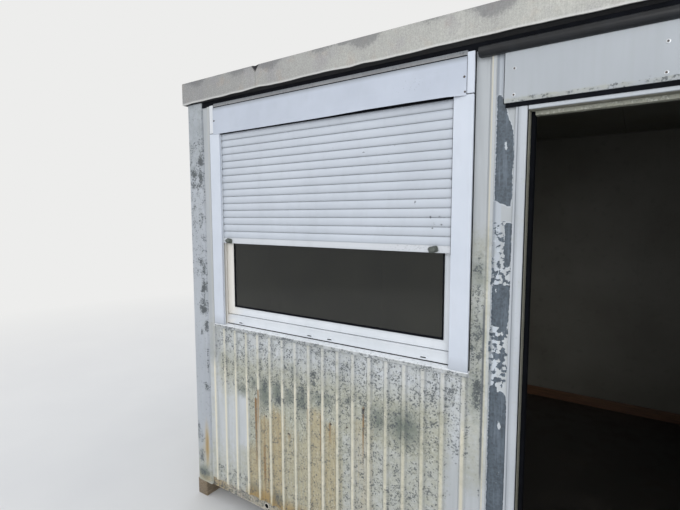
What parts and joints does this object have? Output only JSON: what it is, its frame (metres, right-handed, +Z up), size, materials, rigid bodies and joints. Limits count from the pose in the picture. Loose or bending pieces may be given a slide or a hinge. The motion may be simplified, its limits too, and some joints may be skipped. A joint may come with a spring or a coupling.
{
  "type": "portable site cabin",
  "caption": "Small steel site cabin on timber blocks, with ribbed walls, a shuttered window and a hinged outward-opening door.",
  "frame": {"origin": "on the ground, at the middle of the box round the cabin with its door standing open", "axes": "+X along the front from the window towards the door, +Y from the front wall to the back wall, +Z up"},
  "size_m": [3.03, 3.268, 2.6],
  "materials": {
    "cladding_paint": "weathered light grey paint, mildewed",
    "post_paint": "weathered light grey paint",
    "fascia_paint": "weathered grey paint, lichen spotted",
    "base_paint": "dirty grey paint",
    "lining": "smooth off-white board",
    "floor_covering": "worn grey sheet floor",
    "joist_steel": "dull zinc",
    "roof_zinc": "dull zinc",
    "window_plastic": "white profile, lightly dirty",
    "shutter_plastic": "white slats, lightly dirty",
    "cover_sheet": "white coated sheet, dented",
    "window_glass": "dusty insulating glass",
    "seal_rubber": "black, matt",
    "stop_rubber": "grey, matt",
    "door_paint": "white paint, worn",
    "handle_metal": "satin",
    "timber": "rough sawn, weathered"
  },
  "bodies": {
    "cabin": {"timber_blocks": "timber", "base_rail_front": "base_paint", "base_rail_back": "base_paint", "base_rail_left": "base_paint", "base_rail_right": "base_paint", "corner_post_front_left": "post_paint", "corner_post_front_right": "post_paint", "corner_post_back_right": "post_paint", "corner_post_back_left": "post_paint", "floor_joists": "joist_steel", "floor_deck": "floor_covering", "front_wall_below_window": "cladding_paint", "front_wall_left": "cladding_paint", "front_wall_between": "cladding_paint", "front_wall_over_door": "cladding_paint", "front_wall_right": "cladding_paint", "back_wall": "cladding_paint", "left_wall": "cladding_paint", "right_wall": "cladding_paint", "eaves_seal": "seal_rubber", "roof_rail_front": "fascia_paint", "roof_rail_back": "fascia_paint", "roof_rail_left": "fascia_paint", "roof_rail_right": "fascia_paint", "ceiling_panel": "lining", "roof_sheet": "roof_zinc", "window_frame": "window_plastic", "window_sash": "window_plastic", "window_glass": "window_glass", "window_sill": "cover_sheet", "window_trims": "cover_sheet", "shutter_box_cover": "cover_sheet", "shutter_box": "lining", "shutter_guides": "window_plastic", "shutter_curtain": "shutter_plastic", "shutter_bottom_bar": "shutter_plastic", "shutter_stops": "stop_rubber", "door_frame": "door_paint", "door_seal": "seal_rubber", "door_header_panel": "door_paint", "door_gutter": "seal_rubber", "door_hinges_frame": "handle_metal"},
    "door": {"door_leaf": "door_paint", "door_handles": "handle_metal", "door_hinges_leaf": "handle_metal"}
  },
  "joints": [
    {"name": "door_hinge", "type": "hinge", "parent": "cabin", "child": "door", "pos_m": [1.263, -0.834, 1.22], "axis": [0, 0, -1], "range_deg": [-20, 90]}
  ]
}
